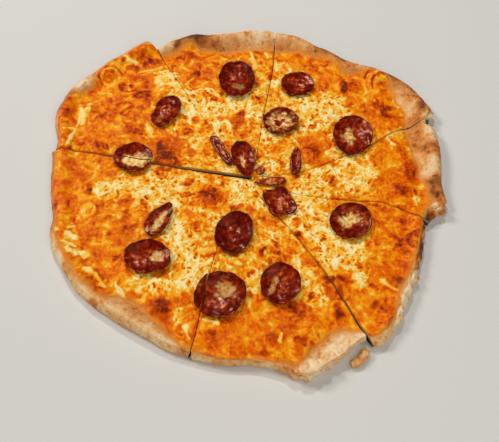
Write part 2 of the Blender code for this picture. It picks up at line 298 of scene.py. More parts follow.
RIM_FLOURY = [
    (76, -134, 14, 0.6), (58, -150, 14, 0.6), (42, -160, 12, 0.55), (-77, 131, 9, 0.45), (-142, 90, 10, 0.6),
    (135, 70, 8, 0.45), (126, 81, 7, 0.4), (-19, 143, 10, 0.3), (-2, 149, 12, 0.4), (12, 147, 10, 0.35),
    (27, 147, 9, 0.3), (45, 141, 10, 0.35), (100, 116, 9, 0.4), (121, -82, 7, 0.5), (123, -90, 7, 0.5),
    (121, -99, 8, 0.5), (116, -108, 8, 0.5), (110, -120, 9, 0.45), (-150, -62, 7, 0.4), (-142, -80, 9, 0.3),
    (150, 14, 9, 0.5), (131, 24, 7, 0.4), (151, 60, 8, 0.8), (147, -27, 5, 0.7), (150, 44, 9, 0.45),
    (133, -19, 4, 0.5), (-98, -118, 13, 0.4), (-78, -131, 12, 0.45), (-58, -141, 10, 0.45),
    (-30, -151, 10, 0.45), (-6, -154, 10, 0.45), (16, -156, 10, 0.45), (143, 5, 6, 0.4), (-158, 50, 6, 0.4),
    (-130, -98, 9, 0.45), (-146, -76, 9, 0.45), (-117, -107, 9, 0.4), (101, -134, 9, 0.5),
]
# Where the rim is torn or crumbly: place, radius and depth of the crags.
TORN = [
    (55, -157, 17, 1.2), (78, -140, 12, 1), (36, -163, 10, 0.9), (152, 60, 10, 1.5), (149, -26, 11, 1.3),
    (136, -48, 8, 0.8), (128, -80, 16, 0.8), (112, -118, 14, 0.7), (-142, 96, 10, 0.3),
]
torn = drawn(TORN)
BAKED_ALL_OVER = 0.42
TOAST_DEPTH = 0.75
FLOUR_DEPTH = 0.6
rim_toast = BAKED_ALL_OVER + 0.10 * hills(17, 31) + 0.08 * hills(5, 32)
for x, y, radius, depth in RIM_TOASTED:
    rim_toast += depth * TOAST_DEPTH * patch(x, y, radius)
for x, y, radius, depth in RIM_FLOURY:
    rim_toast -= depth * FLOUR_DEPTH * patch(x, y, radius)


def crown_height(bare):
    """How high the rim puffed up: most where no cheese held it down."""
    return LOWEST_CROWN + CROWN_PER_BARE_WIDTH * np.minimum(bare, WIDEST_BARE_RIM)


def dough_top(places, inset, bare):
    """Height of the dough at a distance inset from its edge: thin base, raised rim, rounded edge."""
    crown = crown_height(bare)
    lift = read(blister_lift, places) * ease(inset / EDGE_ROUNDING)
    rise = np.sqrt(np.maximum(0, 1 - (1 - np.minimum(inset, EDGE_ROUNDING) / EDGE_ROUNDING) ** 2))
    slope = ease((inset - EDGE_ROUNDING) / (RIM_WIDTH - EDGE_ROUNDING))
    return EDGE_HEIGHT + (crown - EDGE_HEIGHT) * rise + (BASE_THICKNESS - crown) * slope + lift


# Where bumps begin to flatten out, and the pizza's full height.
HIGH, HIGHEST = 13.4, 14.8


def in_frame(places, heights):
    """Points in metres from plan places and heights. Bumps flatten out towards the pizza's full height."""
    over = np.maximum(0, heights - HIGH) / (HIGHEST - HIGH)
    heights = np.minimum(heights, HIGH) + (HIGHEST - HIGH) * (1 - np.exp(-over))
    return np.column_stack([places + MEETING_POINT, heights]) * MM


def only(obj):
    """Makes this the one selected and active object."""
    bpy.ops.object.select_all(action="DESELECT")
    obj.select_set(True)
    bpy.context.view_layer.objects.active = obj


def points_of(obj):
    points = np.empty(len(obj.data.vertices) * 3)
    obj.data.vertices.foreach_get("co", points)
    return points.reshape(-1, 3)


def put_points(obj, points):
    obj.data.vertices.foreach_set("co", points.astype(np.float32).ravel())
    obj.data.update()


def mark(obj, name, values):
    """Keeps one number for each point, which the material reads."""
    obj.data.attributes.new(name, "FLOAT", "POINT").data.foreach_set("value", values.astype(np.float32))


def flat_grid(name, columns, rows):
    """A grid object, and for each of its points the shares 0 to 1 across and along it."""
    bpy.ops.object.select_all(action="DESELECT")
    bpy.ops.mesh.primitive_grid_add(x_subdivisions=columns, y_subdivisions=rows, size=1)
    grid = bpy.context.object
    grid.name = grid.data.name = name
    points = points_of(grid)
    return grid, points[:, 0] + 0.5, points[:, 1] + 0.5


def face_out(obj):
    """Turns a closed mesh right side out."""
    only(obj)
    mesh = obj.data
    mesh.calc_loop_triangles()
    corners = np.empty(len(mesh.loop_triangles) * 3, int)
    mesh.loop_triangles.foreach_get("vertices", corners)
    a, b, c = points_of(obj)[corners.reshape(-1, 3)].transpose(1, 0, 2)
    if np.einsum("ij,ij->i", a, np.cross(b, c)).sum() < 0:
        bpy.ops.object.mode_set(mode="EDIT")
        bpy.ops.mesh.select_all(action="SELECT")
        bpy.ops.mesh.flip_normals()
        bpy.ops.object.mode_set(mode="OBJECT")
    bpy.ops.object.shade_smooth_by_angle(angle=math.radians(50))


def rim_facts(piece, across):
    """The bare width and the way from the tip to the rim at these shares across, and the rim's length."""
    rim = along(piece["rim"], across)
    tip = beside_cut(piece["cuts"][0], np.zeros_like(across), 1)
    length = np.hypot(*np.diff(np.array(piece["rim"])[:, :2], axis=0).T).sum()
    return rim[:, 2], np.hypot(*(rim[:, :2] - tip).T), length


def cheese_edge(name, piece, across):
    """Width of crust that the cheese left bare: uneven, as the cheese ran."""
    bare, _, length = rim_facts(piece, across)
    arc = across * length
    lane = np.full_like(arc, len(name))
    fringe = 1.7 * hills(11, 51, arc, lane) + 0.8 * hills(5, 52, arc, lane)
    return np.maximum(2.4, bare + fringe * ease(bare / 6))


# Rows of points on each part of the dough's surface, from its underside up and in.
UNDER_ROWS, SIDE_ROWS, TOP_ROWS, HIDDEN_ROWS = 5, 12, 20, 10


def rim_row(row):
    """Rows of the dough's surface, from the tip: hidden base, top of the rim, rounded side, underside."""
    hidden = ease(row / HIDDEN_ROWS)
    top = np.clip((row - HIDDEN_ROWS) / TOP_ROWS, 0, 1)
    side = np.clip((row - HIDDEN_ROWS - TOP_ROWS) / SIDE_ROWS, 0, 1) * math.pi / 2
    under = np.clip((row - HIDDEN_ROWS - TOP_ROWS - SIDE_ROWS) / UNDER_ROWS, 0, 1) * math.pi / 2
    return hidden, top, side, under


def make_dough(name, piece):
    """One slice of dough: its skin from under the cheese round the rim, then its cut sides and underside."""
    length = rim_facts(piece, np.zeros(1))[2]
    rows = HIDDEN_ROWS + TOP_ROWS + SIDE_ROWS + UNDER_ROWS
    dough, across, row = flat_grid(f"crust_{name}", round(length / DOUGH_STEP), rows)
    bare, reach, _ = rim_facts(piece, across)
    hidden, top, side, under = rim_row(np.round(row * rows))
    covered = np.maximum(bare + UNDER_CHEESE, EDGE_ROUNDING + 4)
    inset = reach + (covered - reach) * hidden
    inset += (EDGE_ROUNDING - covered) * top
    inset -= EDGE_ROUNDING * np.sin(side)
    inset += EDGE_TUCK * (1 - np.cos(under))

    # The rim's own lumps, wrinkles and pores push the surface out along its slope.
    arc, profile = across * length, row * RIM_PROFILE
    lump = 0.75 * hills(19, 41, arc, profile) + 0.4 * hills(7, 42, arc, profile)
    pore = 0.22 * hills(2.8, 43, arc, profile)
    rough = 3.4 * hills(6.5, 44, arc, profile) + 1.5 * hills(2.6, 45, arc, profile) - 1.4
    rough *= read(torn, slice_places(piece, across, 1 - inset / reach))
    rough *= ease((cheese_edge(name, piece, across) - inset) / 4)
    bulge = ((lump + pore) * ease((EDGE_ROUNDING + 8 - inset) / 12) + rough) * np.cos(under)
    stain_width = np.minimum(4.2, 0.4 * bare + 0.6) * (1 + 0.8 * hills(6, 36, arc, inset))
    stain = ease(1 - (cheese_edge(name, piece, across) - inset) / stain_width)
    stain *= 0.9 * np.cos(side) ** 2
    places = slice_places(piece, across, 1 - (inset - bulge * np.sin(side)) / reach)
    crown = crown_height(bare)
    height = np.where(
        side > 0,
        EDGE_HEIGHT + (crown - EDGE_HEIGHT) * np.cos(side) + read(blister_lift, places) * np.cos(side) ** 2,
        dough_top(places, inset, bare),
    )
    tucked = EDGE_HEIGHT * (1 - np.sin(under)) + UNDERSIDE_LIFT
    height = np.where(under > 0, tucked, height + bulge * np.cos(side))
    put_points(dough, in_frame(places, height))

    # The open edge goes down level by level to the underside, which closes it.
    only(dough)
    bpy.ops.object.mode_set(mode="EDIT")
    bpy.ops.mesh.select_all(action="DESELECT")
    bpy.ops.mesh.select_mode(type="EDGE")
    bpy.ops.mesh.select_non_manifold(extend=False, use_wire=False, use_multi_face=False, use_verts=False)
    tops = None
    for level in WALL_LEVELS:
        bpy.ops.mesh.extrude_region_move()
        bpy.ops.object.mode_set(mode="OBJECT")
        points = points_of(dough)
        loop = np.array([v.select for v in dough.data.vertices])
        tops = points[loop, 2].copy() if tops is None else tops
        points[loop, 2] = tops * level
        put_points(dough, points)
        bpy.ops.object.mode_set(mode="EDIT")
    bpy.ops.mesh.edge_face_add()
    bpy.ops.object.mode_set(mode="OBJECT")

    points = points_of(dough)
    places = points[:, :2] / MM - MEETING_POINT
    mark(dough, "toast", read(rim_toast, places))
    count = len(row)
    walls = np.zeros(len(points) - count)
    mark(dough, "crumb", np.concatenate([np.zeros(count), walls + 1]))
    mark(dough, "stain", np.concatenate([np.clip(stain, 0, 1), walls]))
    # The cut sides darken to near-black towards their foot: browned underside with painted shade of the gaps.
    mark(dough, "seared", np.concatenate([np.zeros(count), np.repeat(WALL_SEARED_AND_SHADED, len(walls) // 3)]))
    dough.data.materials.append(crust_material)
    face_out(dough)
    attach(dough, "root")
    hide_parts(f"dough_{name}")


def linear(code):
    """A colour given as sRGB hex, in the linear values that shaders take."""
    shares = [int(code[i:i + 2], 16) / 255 for i in (1, 3, 5)]
    return (*[s / 12.92 if s <= 0.04045 else ((s + 0.055) / 1.055) ** 2.4 for s in shares], 1)


def new_material(name):
    material = bpy.data.materials.new(name)
    material.use_nodes = True
    return material, material.node_tree.nodes["Principled BSDF"]


def add_node(material, kind, settings=None, out=0, stops=(), **links):
    """
    Adds a node and gives one of its outputs. Settings are its properties. Links are its inputs, by name or by
    number, each a value or another node's output. Stops are the places and colours of a ramp.
    """
    node = material.node_tree.nodes.new("ShaderNode" + kind)
    for key, value in (settings or {}).items():
        setattr(node, key, value)
    for key, value in links.items():
        socket = node.inputs[int(key[1:]) if key[0] == "_" else key]
        if isinstance(value, bpy.types.NodeSocket):
            material.node_tree.links.new(value, socket)
        else:
            socket.default_value = value
    for _ in stops[2:]:
        node.color_ramp.elements.new(0.5)
    for band, (position, code) in zip(node.color_ramp.elements if stops else (), stops):
        band.position, band.color = position, linear(code)
    return node.outputs[out]


# Baked bread crust. Flour dusted on before baking keeps it dull and grainy, and oven heat took it from flour
# white through tan to char, most of all on its blisters. A real flour grain is 0.05 mm, too fine to show, so
# the grain is drawn as the clumps that it forms, and the pores as the largest that show.
CRUST_BANDS = [
    (0.02, "#F3D8AE"), (0.16, "#EBBE84"), (0.32, "#DE9A54"), (0.48, "#C67632"), (0.64, "#9A541E"),
    (0.84, "#70391A"), (1.0, "#401E0C"),
]
FLOUR_CLUMP = 1.6
BAKED_BLOTCH = 7.0
FRECKLE = 3.6
FRECKLE_BANDS = [(0.52, "#000000"), (0.78, "#FFFFFF")]
CRUST_PORE = 1.2
CRUMB = "#D9C8A4"
# Near-black: the browned underside with the deep shadow of the gaps between slices painted into it.
SEARED_AND_SHADED_UNDERSIDE = "#22120A"
CHEESE_STAIN = "#DB8E3C"
crust_material, shader = new_material("baked bread crust")
place = add_node(crust_material, "TexCoord", out="Object")
clumps = add_node(crust_material, "TexNoise", Vector=place, Scale=1 / (FLOUR_CLUMP * MM), Detail=3.0)
blotches = add_node(crust_material, "TexNoise", Vector=place, Scale=1 / (BAKED_BLOTCH * MM), Detail=4.0)
toast = add_node(crust_material, "Attribute", {"attribute_name": "toast"}, "Fac")
toast = add_node(crust_material, "Math", {"operation": "MULTIPLY_ADD"}, _0=clumps, _1=0.34, _2=toast)
toast = add_node(crust_material, "Math", {"operation": "MULTIPLY_ADD"}, _0=blotches, _1=0.28, _2=toast)
toast = add_node(crust_material, "Math", {"operation": "SUBTRACT"}, _0=toast, _1=0.31)
freckles = add_node(crust_material, "TexNoise", Vector=place, Scale=1 / (FRECKLE * MM), Detail=3.0)
freckles = add_node(crust_material, "ValToRGB", stops=FRECKLE_BANDS, _0=freckles)
toast = add_node(crust_material, "Math", {"operation": "MULTIPLY_ADD"}, _0=freckles, _1=0.3, _2=toast)
skin = add_node(crust_material, "ValToRGB", stops=CRUST_BANDS, _0=toast)
for name, code in (("stain", CHEESE_STAIN), ("crumb", CRUMB), ("seared", SEARED_AND_SHADED_UNDERSIDE)):
    amount = add_node(crust_material, "Attribute", {"attribute_name": name}, "Fac")
    skin = add_node(crust_material, "Mix", {"data_type": "RGBA"}, 2, _0=amount, _6=skin, _7=linear(code))
crust_material.node_tree.links.new(skin, shader.inputs["Base Color"])
shader.inputs["Roughness"].default_value = 0.72
shader.inputs["Specular IOR Level"].default_value = 0.25
pores = add_node(crust_material, "TexNoise", Vector=place, Scale=1 / (CRUST_PORE * MM), Detail=5.0)
bump = add_node(crust_material, "Bump", Height=pores, Strength=0.5, Distance=0.8 * MM)
crust_material.node_tree.links.new(bump, shader.inputs["Normal"])

for name, piece in SLICES.items():
    make_dough(name, piece)


# The cheese: grated mozzarella over a thin layer of sauce, melted into one sheet on each slice. Pale curds
# and shreds stand proud of clear orange fat, with toasted blisters, and it thins out on the crust.

CHEESE_THICKNESS = 2.8
CHEESE_EDGE_THICKNESS = 0.9
CHEESE_TAPER = 12.0
CHEESE_SINK = 0.3
SLICE_LENGTH = 150.0
CHEESE_STEP = 0.7
# The lower side, which isn't seen, has one row of points where the upper has six.
UNDER_STEPS = 6
# How deep the knife pressed the cheese down, how far beside the cut, and how far from the tip in full.
KNIFE_PRESS = 0.7
KNIFE_REACH = 2.2
PRESSED_FROM = 50.0

# Where the cheese stayed pale and curdy, and by how much.
PALE = [
    (-60, 76, 12, 0.7), (-44, 62, 11, 0.7), (-74, 99, 9, 0.8), (-36, 76, 12, 0.8), (-50, 86, 9, 0.7),
    (-14, 74, 10, 0.6), (-84, 42, 6, 0.6), (-24, 46, 9, 0.4), (4, 78, 10, 0.6), (2, 62, 8, 0.5),
    (68, 74, 15, 0.6), (56, 62, 14, 0.7), (46, 76, 10, 0.6), (18, 42, 9, 0.6), (70, 24, 7, 0.8),
    (86, 14, 13, 0.7), (96, 6, 10, 0.6), (80, 26, 8, 0.7), (60, 2, 10, 0.6), (86, -4, 9, 0.6),
    (44, -10, 9, 0.5), (128, 78, 8, 0.6), (132, 26, 6, 0.6), (133, -18, 3.5, 0.8), (46, -34, 14, 0.8),
    (58, -44, 12, 0.7), (66, -62, 13, 0.7), (86, -62, 12, 0.5), (84, -88, 9, 0.7), (74, -72, 10, 0.6),
    (-6, -14, 11, 0.8), (4, -20, 9, 0.7), (6, -92, 9, 0.8), (50, -104, 10, 0.6), (44, -86, 9, 0.5),
    (-116, -15, 8, 0.8), (-102, -14, 9, 0.7), (-88, -12, 9, 0.6), (-70, -12, 14, 0.9), (-58, -24, 8, 0.7),
    (-56, -48, 11, 0.9), (-46, -66, 13, 0.9), (-40, -84, 13, 0.9), (-52, -94, 9, 0.7), (-80, -92, 8, 0.6),
    (-66, -98, 9, 0.7), (-50, -118, 7, 0.7), (30, 114, 8, 0.5), (20, 96, 7, 0.6), (12, 10, 7, 0.5),
]
# Where fat came out and the cheese turned a clear deep orange.
FATTY = [
    (-122, 68, 17, 0.4), (-125, 38, 15, 0.3), (-48, 110, 17, 0.4), (40, 125, 16, 0.2), (117, 65, 12, 0.4),
    (52, 25, 13, 0.5), (22, 28, 8, 0.3), (120, 6, 19, 0.45), (115, -68, 18, 0.45), (18, -132, 25, 0.5),
    (55, -116, 14, 0.4), (-14, -132, 14, 0.4), (-142, -4, 15, 0.3), (-112, -62, 19, 0.4),
    (-66, -114, 13, 0.5), (-148, -32, 10, 0.3), (-92, -38, 10, 0.3), (-95, 30, 12, 0.3), (-70, 24, 16, 0.4),
    (100, -100, 12, 0.4), (-28, -20, 12, 0.3), (-10, 58, 8, 0.4), (12, -130, 20, 0.2), (62, -90, 10, 0.3),
    (-100, 60, 14, 0.3),
]
# Where it toasted over a wide patch: place, radius and strength.
TOASTED = [
    (-68, 22, 12, 0.6), (-96, 43, 9, 0.35), (-30, -19, 11, 0.6), (-64, -113, 9, 0.9), (-50, -107, 7, 0.5),
    (82, 95, 9, 0.4), (115, 66, 9, 0.4), (122, -10, 9, 0.4), (12, -148, 7, 0.3), (-26, -135, 8, 0.3),
    (67, -91, 9, 0.6), (52, 24, 10, 0.5), (-104, 103, 9, 0.4), (-121, 64, 13, 0.25), (-60, 122, 9, 0.5),
    (-44, 104, 10, 0.4), (-54, 96, 8, 0.4), (-152, -24, 7, 0.5), (-149, -8, 6, 0.3), (-114, -96, 10, 0.4),
    (-98, -44, 8, 0.3), (118, -56, 9, 0.35), (128, -48, 8, 0.5), (106, -94, 8, 0.4), (116, -88, 7, 0.4),
    (20, -38, 9, 0.3), (30, -118, 12, 0.2), (-155, 66, 8, 0.35), (148, -17, 6, 0.5), (130, 8, 10, 0.3),
    (104, 72, 8, 0.3), (62, 118, 8, 0.25), (-127, -17, 4, 0.5), (-8, 58, 8, 0.25),
]
# Single round blisters and scorched bits: place, radius and how brown.
BLISTERED = [
    (-82, -5, 2.8, 0.6), (-71, 3, 4.2, 0.7), (-69, -7, 3, 0.5), (-48, -8, 4, 1), (-127, -17, 3.5, 0.9),
    (-115, -27, 3, 0.7), (-82, -26, 2.8, 0.7), (-95, -35, 3.3, 0.6), (-98, -42, 2.5, 0.7),
    (-91, -48, 4.2, 0.8), (-99, -60, 3.3, 0.5), (-99, -74, 2.1, 0.6), (-39, -47, 3.8, 0.6),
    (-38, -60, 4.2, 0.6), (-39, -71, 2.5, 0.5), (-49, -25, 3.3, 0.6), (-38, 82, 3.7, 0.9),
    (-30, 78, 3.3, 0.7), (-49, 80, 2.5, 0.7), (-24, 76, 2.5, 0.6), (7, 75, 4.6, 0.7), (24, 82, 2.5, 0.6),
    (-9, 59, 5, 0.6), (-54, 57, 2.5, 0.8), (-52, 43, 3.7, 0.8), (-48, 22, 3.7, 0.8), (8, 118, 2, 0.9),
    (21, 102, 2.2, 0.8), (51, 50, 3.2, 1), (22, 29, 3.8, 0.7), (-64, 122, 2.1, 0.8), (11, -66, 2, 1.2),
    (37, -40, 3.7, 0.7), (37, -50, 2.8, 1.1), (53, -37, 2.7, 0.7), (47, -44, 3, 0.6), (53, -63, 3, 0.7),
    (61, -88, 3, 1), (70, -89, 4.5, 0.8), (20, -59, 2.5, 0.8), (47, -102, 2.5, 0.6), (42, -109, 2.8, 0.6),
    (67, -116, 3.8, 0.6), (52, -132, 1.7, 0.9), (60, -132, 2.3, 0.8), (36, -136, 2.7, 0.8),
    (42, -138, 2.8, 0.9), (48, -140, 2.5, 0.8), (13, -147, 3.7, 0.9), (-26, -134, 4.2, 0.8),
    (80, 94, 4.6, 0.9), (65, 117, 2.8, 0.8), (113, 67, 4.2, 0.7), (117, 49, 2.5, 0.8), (68, -4, 3.3, 0.9),
    (121, -11, 4.6, 0.9), (119, 2, 3.3, 0.6), (100, -24, 1.8, 0.9), (93, -20, 1.8, 0.8),
    (121, -25, 3.8, 0.7), (135, 16, 2.8, 0.7), (139, 10, 2.5, 0.7), (54, 25, 4.7, 0.6), (-93, 114, 2.5, 0.9),
    (-88, 116, 3, 1.1), (-83, 118, 2.3, 0.9), (-111, 116, 2.5, 0.9), (-105, 110, 2.7, 1),
    (-100, 109, 2, 0.9), (-110, 92, 2.7, 0.8), (-103, 90, 2.5, 0.9), (-122, 63, 3.3, 0.6),
    (-120, 74, 2, 0.7), (-95, 78, 2.5, 0.7), (-88, 80, 2.2, 0.7), (-100, 47, 3.2, 0.6), (-94, 42, 3.5, 0.7),
    (-88, 39, 3, 0.7), (-124, 27, 3.3, 0.7), (-116, 26, 2, 0.7), (-72, 28, 4.5, 0.8), (-65, 20, 4.5, 0.9),
    (-92, 66, 3, 0.5), (-47, 54, 3.3, 0.7), (-37, 53, 2.5, 0.6), (118, 72, 3, 0.8), (111, 96, 3, 0.7),
    (102, 67, 2.6, 0.6), (95, -107, 3.4, 0.7), (104, -124, 2.4, 0.8), (100, -110, 2.6, 0.7),
    (93, -93, 3, 0.7), (116, -89, 3, 0.7), (133, -51, 4, 0.8), (106, -66, 3.4, 0.6), (120, -64, 4, 0.6),
    (69, -92, 3, 0.8),
]
# Pale cracks, runs and shreds that stand out: from, to, half width and strength.
PALE_STREAKS = [
    (-137, -49, -134, -48, 1.2, 0.9), (-139, -54, -132, -58, 2, 1), (-140, -62, -131, -65, 1.4, 0.9),
    (-136, -68, -129, -72, 1.7, 0.9), (-127, -70, -121, -73, 1.7, 0.9), (-119, -84, -112, -89, 2, 1),
    (-112, -89, -106, -97, 1.5, 0.9), (-151, -54, -146, -52, 1.2, 0.8), (-122, -14, -111, -23, 2.3, 0.7),
    (-129, -34, -126, -29, 1.2, 0.6), (-126, -29, -120, -31, 1, 0.6), (-120, -31, -122, -37, 1, 0.6),
    (-82, -11, -85, -18, 2.2, 0.7), (-85, -18, -89, -29, 2, 0.6), (-81, 2, -79, -2, 2.2, 0.8),
    (-97, -96, -91, -104, 2.4, 0.9), (-44, -126, -41, -137, 1.1, 0.9), (-1, 133, 1, 123, 1.2, 0.8),
    (12, 131, 15, 124, 1.1, 0.8), (1, 123, 5, 113, 1.4, 0.7), (5, 106, 17, 96, 1.7, 0.6),
    (20, 117, 27, 112, 2, 0.6), (26, 84, 34, 75, 2.2, 0.7), (-59, 90, -49, 99, 0.8, 0.7),
    (-48, 88, -36, 96, 0.8, 0.6), (-75, 106, -61, 88, 2.3, 0.8), (-55, 84, -45, 68, 2.5, 0.6),
    (-13, -72, -7, -77, 2.5, 0.7), (-4, -71, 2, -73, 2, 0.8), (81, -84, 86, -92, 3.3, 0.8),
    (59, -81, 66, -85, 2.5, 0.6), (34, -105, 42, -99, 2, 0.6), (26, -131, 25, -138, 0.9, 0.6),
    (-31, -122, -20, -124, 1.3, 0.7), (76, 8, 79, 2, 2.5, 0.8), (89, -4, 93, -8, 2.2, 0.8),
    (114, 40, 118, 34, 1.1, 0.8), (131, -18, 133, -20, 1.6, 1), (117, -22, 124, -22, 0.9, 0.7),
    (-144, 67, -140, 60, 1.4, 0.7), (-140, 60, -139, 48, 1.8, 0.7), (-135, 69, -139, 60, 1.4, 0.9),
    (-142, 53, -149, 25, 0.9, 0.9), (-154, 42, -146, 44, 0.8, 0.8), (-111, 120, -105, 115, 1.4, 0.8),
    (-105, 115, -100, 114, 1.8, 0.8), (-98, 104, -87, 107, 0.9, 0.6), (-87, 107, -78, 110, 0.9, 0.6),
    (-82, 94, -73, 100, 2, 0.7), (-73, 100, -58, 83, 2.8, 0.8), (-62, 83, -42, 57, 2.4, 0.7),
    (-85, 48, -81, 41, 2.2, 0.8), (-103, 77, -108, 72, 0.9, 0.5), (-130, 82, -119, 81, 0.9, 0.5),
    (101, -89, 111, -96, 1.1, 0.8), (114, 44, 134, 52, 1.3, 0.7), (120, 48, 128, 53, 0.9, 0.6),
]
# Rings and wrinkles round large blisters: middle, radius, from and to angle, half width, and how brown, or
# how pale where it is below 0.
WRINKLES = [
    (-121, 98, 8, 0, 360, 1.0, -0.6), (-121, 98, 9.8, 20, 250, 0.7, 0.6), (-121, 98, 5.5, 60, 200, 0.7, 0.4),
    (111, 99, 13, 20, 165, 0.8, 0.9), (112, 98, 10, 10, 170, 0.7, -0.6), (112, 97, 7.5, 20, 200, 0.7, 0.8),
    (113, 96, 5, 0, 180, 0.7, -0.6), (114, 94, 3.5, 200, 360, 0.7, 0.6), (-52, 43, 5, 0, 360, 0.8, -0.5),
    (8, 118, 4, 0, 360, 0.8, -0.5), (-125, -33, 5.5, 0, 360, 0.9, -0.5), (-47, -9, 6, 0, 360, 0.9, -0.4),
    (-38, -20, 13, 30, 150, 0.9, 0.5), (-36, -24, 9, 20, 140, 0.8, 0.5), (-96, 116, 14, 200, 320, 0.9, -0.6),
    (-155, 67, 7, 60, 300, 0.8, 0.6), (-88, 70, 14, 80, 150, 0.9, 0.8), (-106, 62, 10, 60, 140, 0.9, 0.7),
    (-97, 56, 12, 100, 170, 0.8, 0.6), (-104, 92, 9, 190, 300, 0.9, 0.7), (-140, 78, 12, 250, 330, 0.8, 0.6),
    (-72, 14, 12, 300, 380, 0.9, 0.7), (-134, 52, 10, 20, 120, 0.9, 0.5), (130, -55, 7, 90, 260, 0.9, 0.7),
]

from_middle = np.hypot(PLAN_X, PLAN_Y)
fattiness = 0.46 + 0.26 * ease((from_middle - 55) / 70)
fattiness += 0.18 * hills(24, 11) + 0.16 * hills(9, 12, WARP_X, WARP_Y)
fattiness = np.clip(fattiness - drawn(PALE, 0.85) + drawn(FATTY, 0.8), 0, 1)
paleness = 1 - fattiness
toasting = np.clip(drawn(TOASTED) * (1 + 0.5 * hills(5, 13) + 0.3 * hills(2.4, 14)), 0, 1)

draw = np.random.default_rng(20)


def dab(plan, x, y, radius, depth, edge=1.0):
    """Presses a round dab into the plan where it is deeper than what is there. Edge is its softness."""
    i, j = (int(round((c + REACH) / CELL)) for c in (x, y))
    n = int(radius * (1 + edge) / CELL) + 1
    if min(i, j) < n or max(i, j) > len(ticks) - n - 1:
        return
    window = (slice(i - n, i + n + 1), slice(j - n, j + n + 1))
    near = np.hypot(WARP_X[window] - WARP_X[i, j], WARP_Y[window] - WARP_Y[i, j]) / radius
    plan[window] = np.maximum(plan[window], depth * ease((1 + edge - near) / (2 * edge)))


# Shreds of the grated cheese that melted without losing their shape.
SHREDS = 520
SHRED_LENGTH = (7, 22)
SHRED_WIDTH = (0.7, 1.3)
shreds = np.zeros_like(PLAN_X)
for _ in range(SHREDS):
    x, y = draw.uniform(-160, 160, 2)
    turn, bend = draw.uniform(0, 2 * math.pi), draw.normal(0, 0.09)
    length, width, depth = draw.uniform(*SHRED_LENGTH), draw.uniform(*SHRED_WIDTH), draw.uniform(0.25, 0.8)
    for step in np.arange(0, length, width / 2):
        ends = math.sin(math.pi * (step + width) / (length + 2 * width)) ** 0.5
        dab(shreds, x, y, width, depth * ends)
        x, y, turn = x + math.cos(turn) * width / 2, y + math.sin(turn) * width / 2, turn + bend * width / 2

for x, y, end_x, end_y, width, depth in PALE_STREAKS:
    for share in np.linspace(0, 1, 2 + int(math.hypot(end_x - x, end_y - y) / width * 2)):
        uneven = 1 + 0.3 * math.sin(7 * share + x)
        dab(shreds, x + (end_x - x) * share, y + (end_y - y) * share, width * uneven, 1.7 * depth, 0.45)


def scatter(count, radii, depths, edge):
    """A plan with this many dabs at random, each within these limits."""
    plan = np.zeros_like(PLAN_X)
    places = draw.uniform(-160, 160, (2, count))
    for x, y, radius, depth in zip(*places, draw.uniform(*radii, count), draw.uniform(*depths, count)):
        dab(plan, x, y, radius, depth, edge)
    return plan


# Small holes where fat bubbled through, and round blisters that caught the heat.
pits = scatter(6500, radii=(0.5, 1.05), depths=(0.3, 1), edge=0.45)
spots = scatter(420, radii=(1.0, 2.8), depths=(0.25, 0.7), edge=0.35)
for x, y, radius, depth in BLISTERED:
    dab(spots, x, y, radius, depth, 0.35)
for x, y, radius, start, stop, width, depth in WRINKLES:
    for turn in np.radians(np.arange(start, stop, 30 * width / radius)):
        at = x + radius * math.cos(turn), y + radius * math.sin(turn)
        half = width * (1 + 0.3 * math.sin(5 * turn))
        dab(spots if depth > 0 else shreds, *at, half, abs(depth) * 1.3, 0.5)

# Curds are the pale lumps that the cheese was before it ran together.
curds = 0.45 * hills(9, 17, WARP_X, WARP_Y) + 0.4 * hills(4.2, 18, WARP_X, WARP_Y) + 0.42 * hills(2.1, 19)
curds = ease((curds + 0.3) / 0.55)

# Heat is the colour from cream at 0 to char at 1, and relief how far the surface stands up, in millimetres.
mottle = 0.6 * hills(16, 5, WARP_X, WARP_Y) + 0.5 * hills(7.5, 6, WARP_X, WARP_Y)
flecks = ease((hills(3.4, 21, WARP_X, WARP_Y) - 0.28) / 0.16)
scorches = ease((hills(3.8, 22, WARP_X, WARP_Y) - 0.34) / 0.16)
pale_heat = 0.23 - 0.23 * curds + 0.08 * mottle + 0.62 * pits
fatty_heat = 0.54 + 0.30 * mottle + 0.10 * hills(3.2, 7) - 0.13 * curds + 0.04 * pits - 0.12 * flecks
share = ease((fattiness + 0.30 * hills(5, 15, WARP_X, WARP_Y) + 0.20 * hills(2.4, 16) - 0.20) / 0.5)
heat = pale_heat + (fatty_heat - pale_heat) * share
heat += (0.04 - heat) * np.minimum(1, 0.8 * shreds * (0.35 + 0.65 * fattiness))
heat += 0.44 * spots * (1 - 0.4 * fattiness) + 0.32 * toasting + 0.08 * scorches
heat = np.minimum(heat, 0.92)
curd_relief = 0.6 * shreds + 0.6 * curds * paleness - 0.5 * pits + 0.6 * spots + 0.7 * mottle
curd_relief += 0.25 * flecks - 0.25 * scorches + 0.25 * hills(3, 23)
wave_relief = 0.7 * hills(26, 9) + 0.3 * hills(12, 10)


